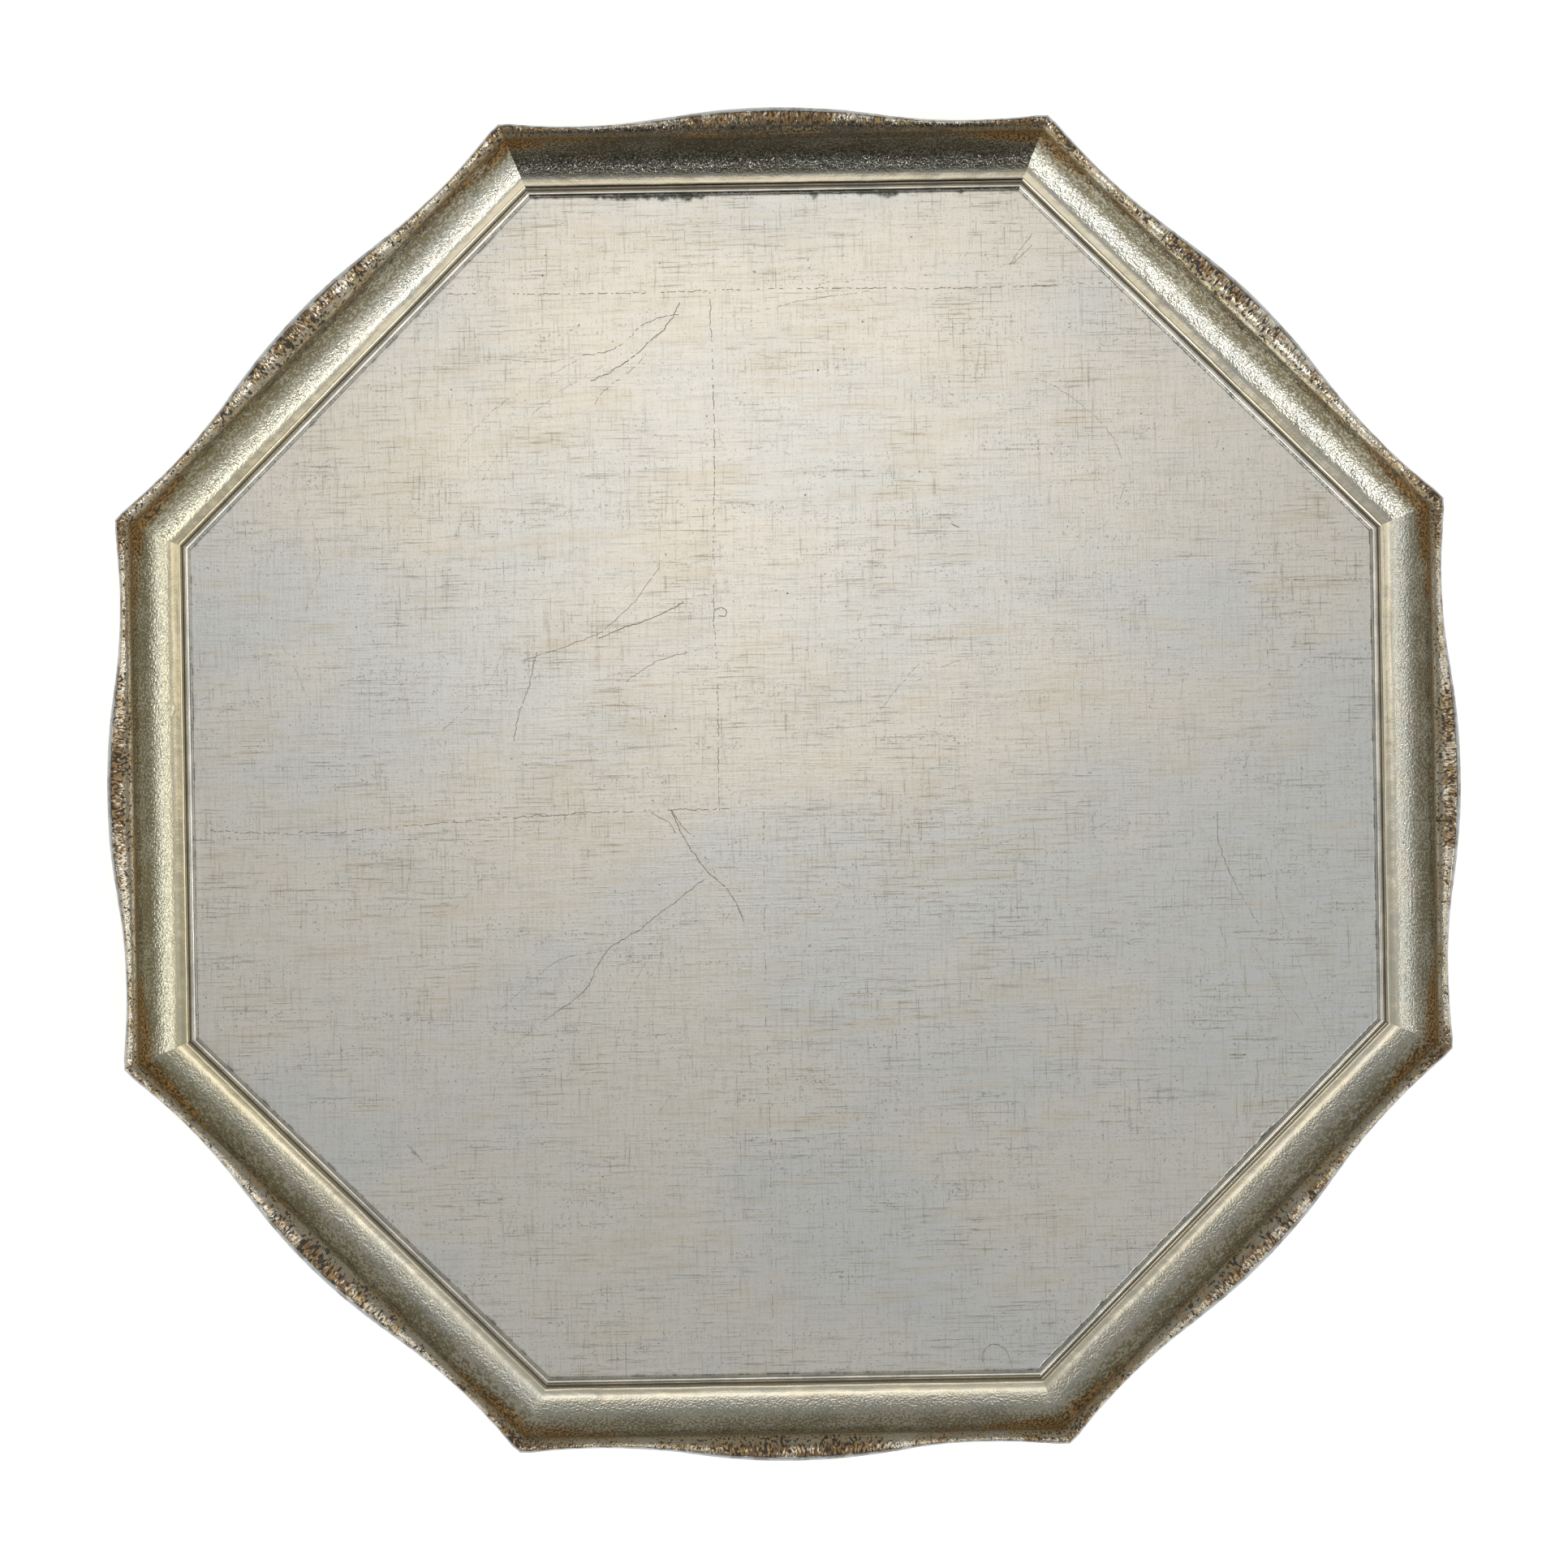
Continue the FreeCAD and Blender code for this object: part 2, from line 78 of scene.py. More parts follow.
class Bench:  # makes and joins the nodes of one tree
    def __init__(self, tree):
        self.tree = tree

    def plug(self, socket, value):
        if isinstance(value, Wire):
            self.tree.links.new(value.socket, socket)
        else:
            socket.default_value = value

    def node(self, kind, settings=None, sockets=None, out=0):
        made = self.tree.nodes.new(kind)
        for name, value in (settings or {}).items():
            if name == "stops":
                self.setStops(made.color_ramp, value)
            else:
                setattr(made, name, value)
        for key, value in (sockets or {}).items():
            self.plug(made.inputs[key], value)
        return Wire(self, made.outputs[out])

    def figure(self, operation, first, second=0.0):
        return self.node("ShaderNodeMath", {"operation": operation}, {0: first, 1: second})

    def setStops(self, ramp, stops):
        while len(ramp.elements) < len(stops):
            ramp.elements.new(0.5)
        for element, (place, colour) in zip(ramp.elements, stops):
            element.position = place
            element.color = (*colour, 1.0)

    def limit(self, value):  # keeps a mask between 0 and 1
        return self.node("ShaderNodeClamp", {}, {"Value": value})

    def step(self, value, low, high):  # soft step from 0 at low to 1 at high
        sockets = {"Value": value, "From Min": low, "From Max": high}
        return self.node("ShaderNodeMapRange", {"interpolation_type": "SMOOTHSTEP"}, sockets)

    def band(self, value, low, high, soft):  # 1 between low and high, fading over soft outside them
        rising = self.step(value, low - soft, low)
        return rising * (1 - self.step(value, high, high + soft))

    def vector(self, x=0.0, y=0.0, z=0.0):
        return self.node("ShaderNodeCombineXYZ", {}, {0: x, 1: y, 2: z})

    def split(self, vector):
        parts = self.node("ShaderNodeSeparateXYZ", {}, {0: vector})
        return parts, parts.out("Y"), parts.out("Z")

    def vectorMath(self, operation, first, second=(0.0, 0.0, 0.0)):
        return self.node("ShaderNodeVectorMath", {"operation": operation}, {0: first, 1: second})

    def scaled(self, vector, scale):
        return self.node("ShaderNodeVectorMath", {"operation": "SCALE"}, {0: vector, "Scale": scale})

    def noise(self, vector, scale, detail=2.0, rough=0.5, twist=0.0, out=0):
        sockets = {"Vector": vector, "Scale": scale, "Detail": detail}
        sockets.update({"Roughness": rough, "Distortion": twist})
        return self.node("ShaderNodeTexNoise", {}, sockets, out)

    def mix(self, factor, first, second, blend="MIX"):
        first = (*first, 1.0) if isinstance(first, tuple) else first
        second = (*second, 1.0) if isinstance(second, tuple) else second
        settings = {"data_type": "RGBA", "blend_type": blend}
        return self.node("ShaderNodeMix", settings, {0: factor, 6: first, 7: second}, 2)

    def ramp(self, value, stops):
        return self.node("ShaderNodeValToRGB", {"stops": stops}, {0: value})

    def bump(self, height, strength, distance):
        sockets = {"Height": height, "Strength": strength, "Distance": distance}
        return self.node("ShaderNodeBump", {}, sockets)

    def attribute(self, name, out="Fac"):
        return self.node("ShaderNodeAttribute", {"attribute_name": name}, {}, out)

    def millimetres(self):
        place = self.node("ShaderNodeTexCoord", {}, {}, "Object")
        return self.scaled(place, 1000.0)


def material(name, paint):
    made = bpy.data.materials.new(name)
    made.use_nodes = True
    made.node_tree.nodes.clear()
    bench = Bench(made.node_tree)
    shader = bench.node("ShaderNodeBsdfPrincipled", {}, paint(bench))
    output = made.node_tree.nodes.new("ShaderNodeOutputMaterial")
    bench.plug(output.inputs["Surface"], shader)
    return made


def geometryBench(name, sizes):
    tree = bpy.data.node_groups.new(name, "GeometryNodeTree")
    tree.interface.new_socket("Geometry", in_out="INPUT", socket_type="NodeSocketGeometry")
    tree.interface.new_socket("Geometry", in_out="OUTPUT", socket_type="NodeSocketGeometry")
    for label in sizes:
        tree.interface.new_socket(label, in_out="INPUT", socket_type="NodeSocketFloat")
    bench = Bench(tree)
    host = tree.nodes.new("NodeGroupInput")
    given = {socket.name: Wire(bench, socket) for socket in host.outputs if socket.name}
    return bench, given


def grown(name, host, bench, sizes):  # runs the tree on the host mesh and returns a plain mesh
    modifier = host.modifiers.new(name, "NODES")
    modifier.node_group = bench.tree
    for item in bench.tree.interface.items_tree:
        if item.in_out == "INPUT" and item.name in sizes:
            modifier[item.identifier] = float(sizes[item.name])
    evaluated = host.evaluated_get(bpy.context.evaluated_depsgraph_get())
    mesh = bpy.data.meshes.new_from_object(evaluated)
    host.modifiers.remove(modifier)
    mesh.name = name
    return mesh


def turnOutward(mesh, work=None):  # does the work on the mesh, then turns its faces outward
    form = bmesh.new()
    form.from_mesh(mesh)
    if work:
        work(form)
    bmesh.ops.recalc_face_normals(form, faces=form.faces)
    form.to_mesh(mesh)
    form.free()


def addObject(name, mesh):
    made = bpy.data.objects.new(name, mesh)
    bpy.context.scene.collection.objects.link(made)
    return made


def endTree(bench, geometry, finish):
    whole = bench.node("GeometryNodeRealizeInstances", {}, {"Geometry": geometry})
    painted = bench.node("GeometryNodeSetMaterial", {}, {"Geometry": whole, "Material": finish})
    output = bench.tree.nodes.new("NodeGroupOutput")
    bench.plug(output.inputs["Geometry"], painted)


# finishes
leafTones = {
    "silver": (0.80, 0.78, 0.73),
    "coolSilver": (0.73, 0.75, 0.75),
    "straw": (0.68, 0.65, 0.50),
    "tan": (0.60, 0.54, 0.36),
    "honey": (0.70, 0.60, 0.42),
    "olive": (0.30, 0.245, 0.115),
    "umber": (0.055, 0.032, 0.014),
    "lacquer": (0.60, 0.47, 0.27),
    "amber": (0.52, 0.27, 0.055),
    "bole": (0.16, 0.080, 0.026),
    "gold": (0.44, 0.25, 0.075),
    "soot": (0.02, 0.018, 0.016),
    "slate": (0.42, 0.45, 0.47),
}


def paintRim(bench):
    tone = leafTones
    rail = bench.attribute("rail", "Vector")  # along and round in millimetres, then each side's own shift
    along = bench.split(rail)[0]
    across = bench.attribute("across")
    swell = bench.attribute("swell")
    grain = bench.noise(rail, 1.9, 1.0, 0.5)
    speck = bench.noise(bench.vectorMath("ADD", rail, (31.0, 7.0, 2.0)), 1.5, 1.0, 0.5)
    cloud = bench.noise(rail, 0.09, 3.0, 0.6)
    patch = bench.noise(rail, 0.35, 3.0, 0.6)
    streak = bench.noise(bench.vectorMath("MULTIPLY", rail, (0.06, 2.2, 1.0)), 1.0, 3.0, 0.6)
    # silver leaf, cooler in clouds
    colour = bench.mix(bench.step(cloud, 0.42, 0.62), tone["silver"], tone["coolSilver"])
    # the cove is toned yellower than the rest, most of all toward the west
    west = bench.split(bench.millimetres())[0]
    thick = 1 - bench.step(west, -168.0, -90.0)
    toned = bench.band(across, 1.2, 3.3, 0.2)
    colour = bench.mix(toned * (0.35 + thick * 0.5), colour, tone["straw"])
    # tan wash with streaks that run along the foot of the cove
    foot = bench.band(across, 1.75, 2.16, 0.14)
    wash = 0.12 + bench.step(streak, 0.42, 0.64) * 0.34 + thick * 0.25
    colour = bench.mix(foot * wash, colour, tone["tan"])
    # olive wax in the upper cove, broken by specks
    wax = bench.step(across, 2.20, 2.60) * (1 - bench.step(across, 3.06, 3.2))
    waxed = bench.step(wax * 0.55 + (speck - 0.5) * 3.2 + (cloud - 0.5) * 1.4, 0.24, 0.62)
    colour = bench.mix(waxed * wax * 0.80, colour, tone["olive"])
    # painted shade: a dark umber line, broken by specks, where the cove is steepest
    shade = bench.band(across, 2.80, 3.12, 0.12)
    paintedSteepShade = bench.step(grain * 1.2 + (patch - 0.5) * 0.9, 0.56, 0.68) * shade
    colour = bench.mix(paintedSteepShade * 0.85, colour, tone["umber"])
    # amber wash where the cove turns over into the lip, thickest toward the corners
    corner = bench.step(bench.figure("ABSOLUTE", along), 36.0, 66.0)
    turn = bench.step(across, 2.78 - corner * 0.30, 2.92 - corner * 0.24)
    turn = turn * (1 - bench.step(across, 3.45, 3.7))
    amber = bench.step(cloud + corner * 0.24 + (grain - 0.5) * 0.9 + (patch - 0.5) * 0.4, 0.50, 0.60) * turn
    baked = bench.mix(bench.step(speck, 0.44, 0.56), tone["amber"], tone["umber"])
    colour = bench.mix(amber * 0.88, colour, baked)
    # the lip is lacquered browner than the cove
    bare = bench.step(speck, 0.50, 0.60) * 0.85
    lacquer = bench.band(across, 3.15, 4.26, 0.12) * (0.5 + bench.step(cloud, 0.40, 0.60) * 0.35)
    colour = bench.mix(lacquer * (1 - bare), colour, tone["lacquer"])
    # worn crest: bole, gold and bare ground, most of it on the swells
    crest = bench.band(across, 3.74, 4.24, 0.12)
    wornBy = (swell - 0.5) * 0.42 + (cloud - 0.5) * 1.6
    worn = bench.step((grain - 0.5) * 2.2 + wornBy + (patch - 0.5) * 0.9, 0.02, 0.26) * crest
    clay = bench.mix(bench.step(patch + (speck - 0.5) * 0.6, 0.42, 0.58), tone["bole"], tone["gold"])
    colour = bench.mix(worn * 0.88, colour, clay)
    speckle = bench.band(across, 3.25, 4.25, 0.2)
    burnt = bench.step((speck - 0.5) * 2.4 + (patch - 0.5) * 1.2 + wornBy * 0.4, 0.17, 0.30) * speckle
    colour = bench.mix(burnt * 0.92, colour, tone["soot"])
    # slate outer face, with a dark line beside the ridge
    face = bench.step(across, 4.33, 4.42)
    colour = bench.mix(face * 0.85, colour, tone["slate"])
    scuffed = bench.step(patch + (streak - 0.5) * 0.6, 0.48, 0.66) * face
    colour = bench.mix(scuffed * 0.6, colour, tone["bole"])
    edge = bench.band(across, 4.27, 4.33, 0.03) * bench.step(patch, 0.40, 0.50)
    colour = bench.mix(edge * 0.9, colour, tone["soot"])
    # groove beside the bead, its umber partly painted shade in the recess and partly dirt packed into it
    groove = bench.band(across, 0.98, 1.28, 0.05)
    colour = bench.mix(groove * 0.92, colour, tone["umber"])
    colour = bench.mix(bench.band(across, 1.3, 2.05, 0.05) * 0.28, colour, tone["olive"])
    line = bench.band(across, 1.35, 1.8, 0.1) * bench.step(streak, 0.35, 0.55)
    colour = bench.mix(line * 0.18, colour, tone["gold"])
    # bead: its outer slope greener, and painted contact shade, near black in patches, along its foot where
    # it meets the ground
    slope = bench.band(across, 0.2, 0.93, 0.1)
    colour = bench.mix(slope * bench.step(cloud, 0.40, 0.60) * 0.30, colour, tone["olive"])
    beadFootShade = bench.step(grain + (patch - 0.5) * 1.2, 0.60, 0.68) * (1 - bench.step(across, 0.28, 0.4))
    colour = bench.mix(beadFootShade * 0.5, colour, tone["soot"])
    # bare painted wood below
    below = bench.step(across, 6.55, 6.85)
    wood = bench.mix(bench.step(streak, 0.3, 0.7), (0.075, 0.042, 0.022), (0.14, 0.085, 0.045))
    colour = bench.mix(below, colour, wood)
    paint = bench.limit(paintedSteepShade * 0.6 + amber * 0.5 + worn * 0.7 + burnt + groove + beadFootShade + edge + below)
    metallic = bench.limit(1 - paint * 0.9 - face * 0.25 - scuffed * 0.5)
    rough = 0.18 + patch * 0.09 + paint * 0.28 + face * 0.22
    lift = bench.step(across, 2.08, 2.28) * (1 - bench.step(across, 4.25, 4.35))
    sand = (grain + speck * 0.7) * (0.10 + lift * 0.90)
    normal = bench.bump(sand + streak * 0.1, 1.0, 0.00015)
    return {"Base Color": colour, "Metallic": metallic, "Roughness": rough, "Normal": normal}


def paintPanel(bench):
    tone = leafTones
    place = bench.millimetres()
    chip = bench.attribute("chip")
    tilted = bench.node("ShaderNodeVectorRotate", {"rotation_type": "Z_AXIS"}, {0: place, "Angle": -0.07})
    brushed = bench.vectorMath("MULTIPLY", tilted, (0.016, 0.75, 1.0))
    cloud = bench.noise(bench.vectorMath("MULTIPLY", place, (0.6, 1.0, 1.0)), 0.017, 4.0, 0.6)
    bloom = bench.noise(place, 0.045, 3.0, 0.55)
    streak = bench.noise(brushed, 1.0, 4.0, 0.65)
    weftThreads = bench.noise(bench.vectorMath("MULTIPLY", place, (0.11, 2.6, 1.0)), 1.0, 2.0, 0.6)
    warpThreads = bench.noise(bench.vectorMath("MULTIPLY", place, (2.6, 0.11, 1.0)), 1.0, 2.0, 0.6)
    fine = bench.noise(place, 1.6, 2.0, 0.6)
    # silver leaf, cooler in clouds here too
    colour = bench.mix(bench.step(cloud, 0.40, 0.60), tone["silver"], tone["coolSilver"])
    # honey-coloured lacquer in long brushed streaks
    honey = bench.step(streak + (bloom - 0.5) * 0.35, 0.46, 0.74)
    colour = bench.mix(honey * 0.20, colour, tone["honey"])
    stain = bench.step(bloom + (streak - 0.5) * 0.5 + (fine - 0.5) * 0.3, 0.56, 0.80)
    colour = bench.mix(stain * 0.16, colour, tone["honey"])
    # cool and warm mottling, drawn out sideways
    mottle = bench.noise(bench.vectorMath("MULTIPLY", tilted, (0.05, 0.20, 1.0)), 1.0, 3.0, 0.6)
    colour = bench.mix(bench.step(mottle, 0.52, 0.72) * 0.24, colour, tone["coolSilver"])
    colour = bench.mix((1 - bench.step(mottle, 0.30, 0.47)) * 0.20, colour, tone["honey"])
    # the ground's weave, as short rubbed dashes both ways
    openness = 0.25 + bench.step(bloom + (mottle - 0.5) * 0.5, 0.40, 0.62) * 0.75
    dashes = bench.step(weftThreads, 0.57, 0.68) * 0.8 + bench.step(warpThreads, 0.60, 0.70) * 0.6
    colour = bench.mix(dashes * openness * 0.60, colour, (0.25, 0.22, 0.15))
    threads = bench.step(weftThreads * 0.5 + warpThreads * 0.5 + (fine - 0.5) * 0.6, 0.46, 0.60)
    colour = bench.mix(threads * 0.16, colour, (0.36, 0.33, 0.26))
    # rubbed specks
    rub = bench.step(fine + (mottle - 0.5) * 0.3, 0.66, 0.73)
    colour = bench.mix(rub * 0.6, colour, (0.22, 0.20, 0.16))
    # pinholes
    cells = bench.node("ShaderNodeTexVoronoi", {"feature": "F1"}, {"Vector": place, "Scale": 0.19})
    hole = (1 - bench.step(cells, 0.0, 0.06)) * bench.step(fine, 0.45, 0.5)
    colour = bench.mix(hole, colour, tone["umber"])
    flake = bench.mix(bench.step(fine, 0.4, 0.6), (0.10, 0.10, 0.09), (0.30, 0.30, 0.27))
    colour = bench.mix(chip, colour, flake)
    paint = bench.limit(hole + chip * 0.7 + dashes * openness * 0.15)
    metallic = 1 - paint
    roughness = 0.30 + (bloom - 0.5) * 0.06 + (streak - 0.5) * 0.05 + chip * 0.2
    height = weftThreads * 0.5 + warpThreads * 0.45 + fine * 0.3 + bloom * 0.6 - hole * 1.5
    normal = bench.bump(height, 0.5, 0.00008)
    return {"Base Color": colour, "Metallic": metallic, "Roughness": roughness, "Normal": normal}


def paintWrinkle(bench):
    place = bench.millimetres()
    fine = bench.noise(place, 1.2, 2.0, 0.6)
    colour = bench.mix(bench.step(fine, 0.4, 0.6), (0.30, 0.26, 0.19), (0.58, 0.55, 0.47))
    return {"Base Color": colour, "Metallic": 0.5, "Roughness": 0.5 + fine * 0.1}


def paintBoard(bench):  # painted plywood
    place = bench.millimetres()
    grain = bench.noise(bench.vectorMath("MULTIPLY", place, (0.02, 0.7, 0.7)), 1.0, 4.0, 0.6, 0.4)
    mottle = bench.noise(place, 0.05, 3.0, 0.6)
    colour = bench.mix(bench.step(grain, 0.35, 0.65), (0.075, 0.042, 0.022), (0.125, 0.075, 0.040))
    colour = bench.mix(bench.step(mottle, 0.55, 0.75) * 0.5, colour, (0.20, 0.13, 0.075))
    normal = bench.bump(grain, 0.4, 0.0002)
    return {"Base Color": colour, "Roughness": 0.55 + mottle * 0.2, "Normal": normal}


def paintKey(bench):  # bare hardwood let in across the mitres
    place = bench.millimetres()
    grain = bench.noise(bench.vectorMath("MULTIPLY", place, (0.3, 0.3, 3.0)), 1.0, 3.0, 0.6)
    colour = bench.mix(bench.step(grain, 0.35, 0.65), (0.24, 0.14, 0.07), (0.36, 0.23, 0.12))
    return {"Base Color": colour, "Roughness": 0.5 + grain * 0.2, "Normal": bench.bump(grain, 0.3, 0.0001)}


def paintBrad(bench):  # drawn steel
    place = bench.millimetres()
    drawn = bench.noise(bench.vectorMath("MULTIPLY", place, (4.0, 4.0, 0.3)), 1.0, 3.0, 0.6)
    rust = bench.step(bench.noise(place, 0.8, 3.0, 0.6), 0.55, 0.7)
    colour = bench.mix(rust * 0.6, (0.50, 0.50, 0.50), (0.22, 0.10, 0.04))
    return {"Base Color": colour, "Metallic": 1 - rust * 0.6, "Roughness": 0.3 + drawn * 0.2 + rust * 0.2}


finishes = {
    "rim": material("silver leaf, waxed and worn", paintRim),
    "panel": material("silver leaf, laid flat", paintPanel),
    "wrinkle": material("leaf edge", paintWrinkle),
    "board": material("painted plywood", paintBoard),
    "key": material("key hardwood", paintKey),
    "brad": material("brad steel", paintBrad),
}
print("finishes made")


# eight rim mouldings, swept from one section
moulding = {
    "sight": 151.22,
    "sightFoot": 6.02,
    "beadX": 152.3,
    "beadZ": 6.62,
    "beadWidth": 0.83,
    "beadRise": 0.88,
    "rebate": 160.0,
    "rebateTop": 6.0,
    "plinth": 164.95,
    "plinthTop": 9.9,
    "coveFoot": 153.9,
    "coveTop": 19.3,
    "coveRadius": 11.65,
    "lipStart": 165.55,
    "lipLow": 19.0,
    "dipReach": 168.2,
    "swellReach": 172.2,
    "dipCrest": 22.9,
    "swellCrest": 24.65,
    "dipPlace": 50.0,
    "scotiaX": 177.71,
    "scotiaZ": 7.29,
    "scotiaRadius": 13.0,
    "swellRadius": 155.0,
    "dipRadius": 151.9,
    "crestSwellRadius": 290.0,
    "crestDipRadius": 405.3,
    "tipTrim": 0.4,
    "tipLength": 3.4,
    "reachLimit": 172.38,
    "crestLimit": 24.78,
    "weld": 0.000012,
    "ripple": 0.5,
    "tooth": 0.12,
    "sideShift": 37.0,
    "stepsAlong": 300,
}
# how far along the lip, and how high, from the cove's top to the nose
lipShape = [
    (0.0, 0.0), (0.012, 0.16), (0.035, 0.33), (0.075, 0.49), (0.13, 0.62), (0.20, 0.725),
    (0.29, 0.815), (0.40, 0.89), (0.52, 0.945), (0.63, 0.98), (0.73, 1.0), (0.81, 0.985),
    (0.88, 0.93), (0.94, 0.84), (0.98, 0.72), (1.0, 0.55),
]


def scotiaHeight(x):
    m = moulding
    return m["scotiaZ"] + math.sqrt(m["scotiaRadius"] ** 2 - (x - m["scotiaX"]) ** 2)


def lerp(a, b, t):
    return a + (b - a) * t


def sectionPoints():
    m = moulding
    rows = []  # x, z, across, reach share, crest share, hollow, worked

    def run(points, first, last, worked):
        for i, (x, z) in enumerate(points):
            rows.append((x, z, lerp(first, last, i / (len(points) - 1)), 0, 0, 0, worked))

    run([(m["sight"], m["sightFoot"]), (m["sight"], 6.25), (m["sight"], 6.44)], 0.0, 0.08, 0.05)
    run([(151.36, 6.48), (151.44, 6.56)], 0.1, 0.16, 0.1)
    bead = []
    for i in range(11):  # bead, a little under a half round
        a = math.radians(160 - 142 * i / 10)
        bead.append((m["beadX"] + m["beadWidth"] * math.cos(a), m["beadZ"] + m["beadRise"] * math.sin(a)))
    run(bead, 0.2, 0.93, 0.35)
    run([(153.16, 6.82), (153.3, 6.84), (153.45, 7.05), (153.62, 7.3), (153.8, 7.52)], 1.0, 1.8, 0.2)
    cove = []
    for i in range(46):
        a = math.radians(2 + 84 * i / 45)
        x = m["coveFoot"] + m["coveRadius"] * math.sin(a)
        z = m["coveTop"] - m["coveRadius"] * math.cos(a)
        cove.append((x, z))
    run(cove, 2.0, 3.0, 1.0)
    fine = []
    for (t0, h0), (t1, h1) in zip(lipShape, lipShape[1:]):
        fine += [(lerp(t0, t1, k / 2), lerp(h0, h1, k / 2)) for k in range(2)]
    fine.append(lipShape[-1])
    for i, (t, h) in enumerate(fine):
        x = lerp(m["lipStart"], m["dipReach"], t)
        z = lerp(m["lipLow"], m["dipCrest"], h)
        across = lerp(3.05, 4.0, i / 19) if i < 19 else lerp(4.0, 5.0, (i - 19) / (len(fine) - 20))
        rows.append((x, z, across, t, h, 0, 1.0))
    under = scotiaHeight(m["dipReach"])
    noseZ = lerp(m["lipLow"], m["dipCrest"], lipShape[-1][1])
    for i in range(1, 8):  # outer face, down to the hollow
        k = i / 8
        z = lerp(noseZ, under, k)
        rows.append((m["dipReach"], z, lerp(5.0, 5.9, k), 1, (1 - k) * lipShape[-1][1], k, 0.6))
    for i in range(12):  # the hollow under the lip
        w = 1 - i / 11
        x = lerp(165.0, m["dipReach"], w)
        rows.append((x, scotiaHeight(x), lerp(6.8, 6.0, w), w, 0, 2 if w > 0 else 0, 0.3 * w))
    run([(m["plinth"], lerp(m["plinthTop"], 0.5, i / 7)) for i in range(8)], 7.0, 7.9, 0.0)
    foot, wall, top = m["plinth"], m["rebate"], m["rebateTop"]
    base = [(foot - 0.12, 0.12), (foot - 0.5, 0.0), (162.5, 0.0), (160.5, 0.0), (160.12, 0.12)]
    run(base, 8.0, 8.4, 0)
    run([(wall, 0.5), (wall, 3.0), (wall, top), (157.0, top), (154.0, top)], 8.5, 8.9, 0)
    return rows


def sectionHost():
    rows = sectionPoints()
    count = len(rows)
    mesh = bpy.data.meshes.new("moulding section")
    mesh.from_pydata([(r[0], 0, r[1]) for r in rows], [(i, (i + 1) % count) for i in range(count)], [])
    girth = [0.0]
    for a, b in zip(rows, rows[1:]):
        girth.append(girth[-1] + math.hypot(b[0] - a[0], b[1] - a[1]))
    sets = {
        "shares": [(r[3], r[4], 0.0) for r in rows],
        "finish": [(r[2], g, r[6]) for r, g in zip(rows, girth)],
        "hollow": [(float(r[5] == 2), r[5] if r[5] <= 1 else 0.0, 0.0) for r in rows],
    }
    for name, values in sets.items():
        layer = mesh.attributes.new(name, "FLOAT_VECTOR", "POINT")
        layer.data.foreach_set("vector", [number for value in values for number in value])
    return addObject("moulding section", mesh), count


rimInputs = [
    "Section Points", "Steps Along", "Side", "Half Turn", "Swell Reach", "Dip Reach",
    "Swell Crest", "Dip Crest", "Dip Place", "Tip Trim", "Ripple", "Tooth",
    "Dent Along", "Dent Girth", "Dent Depth",
]


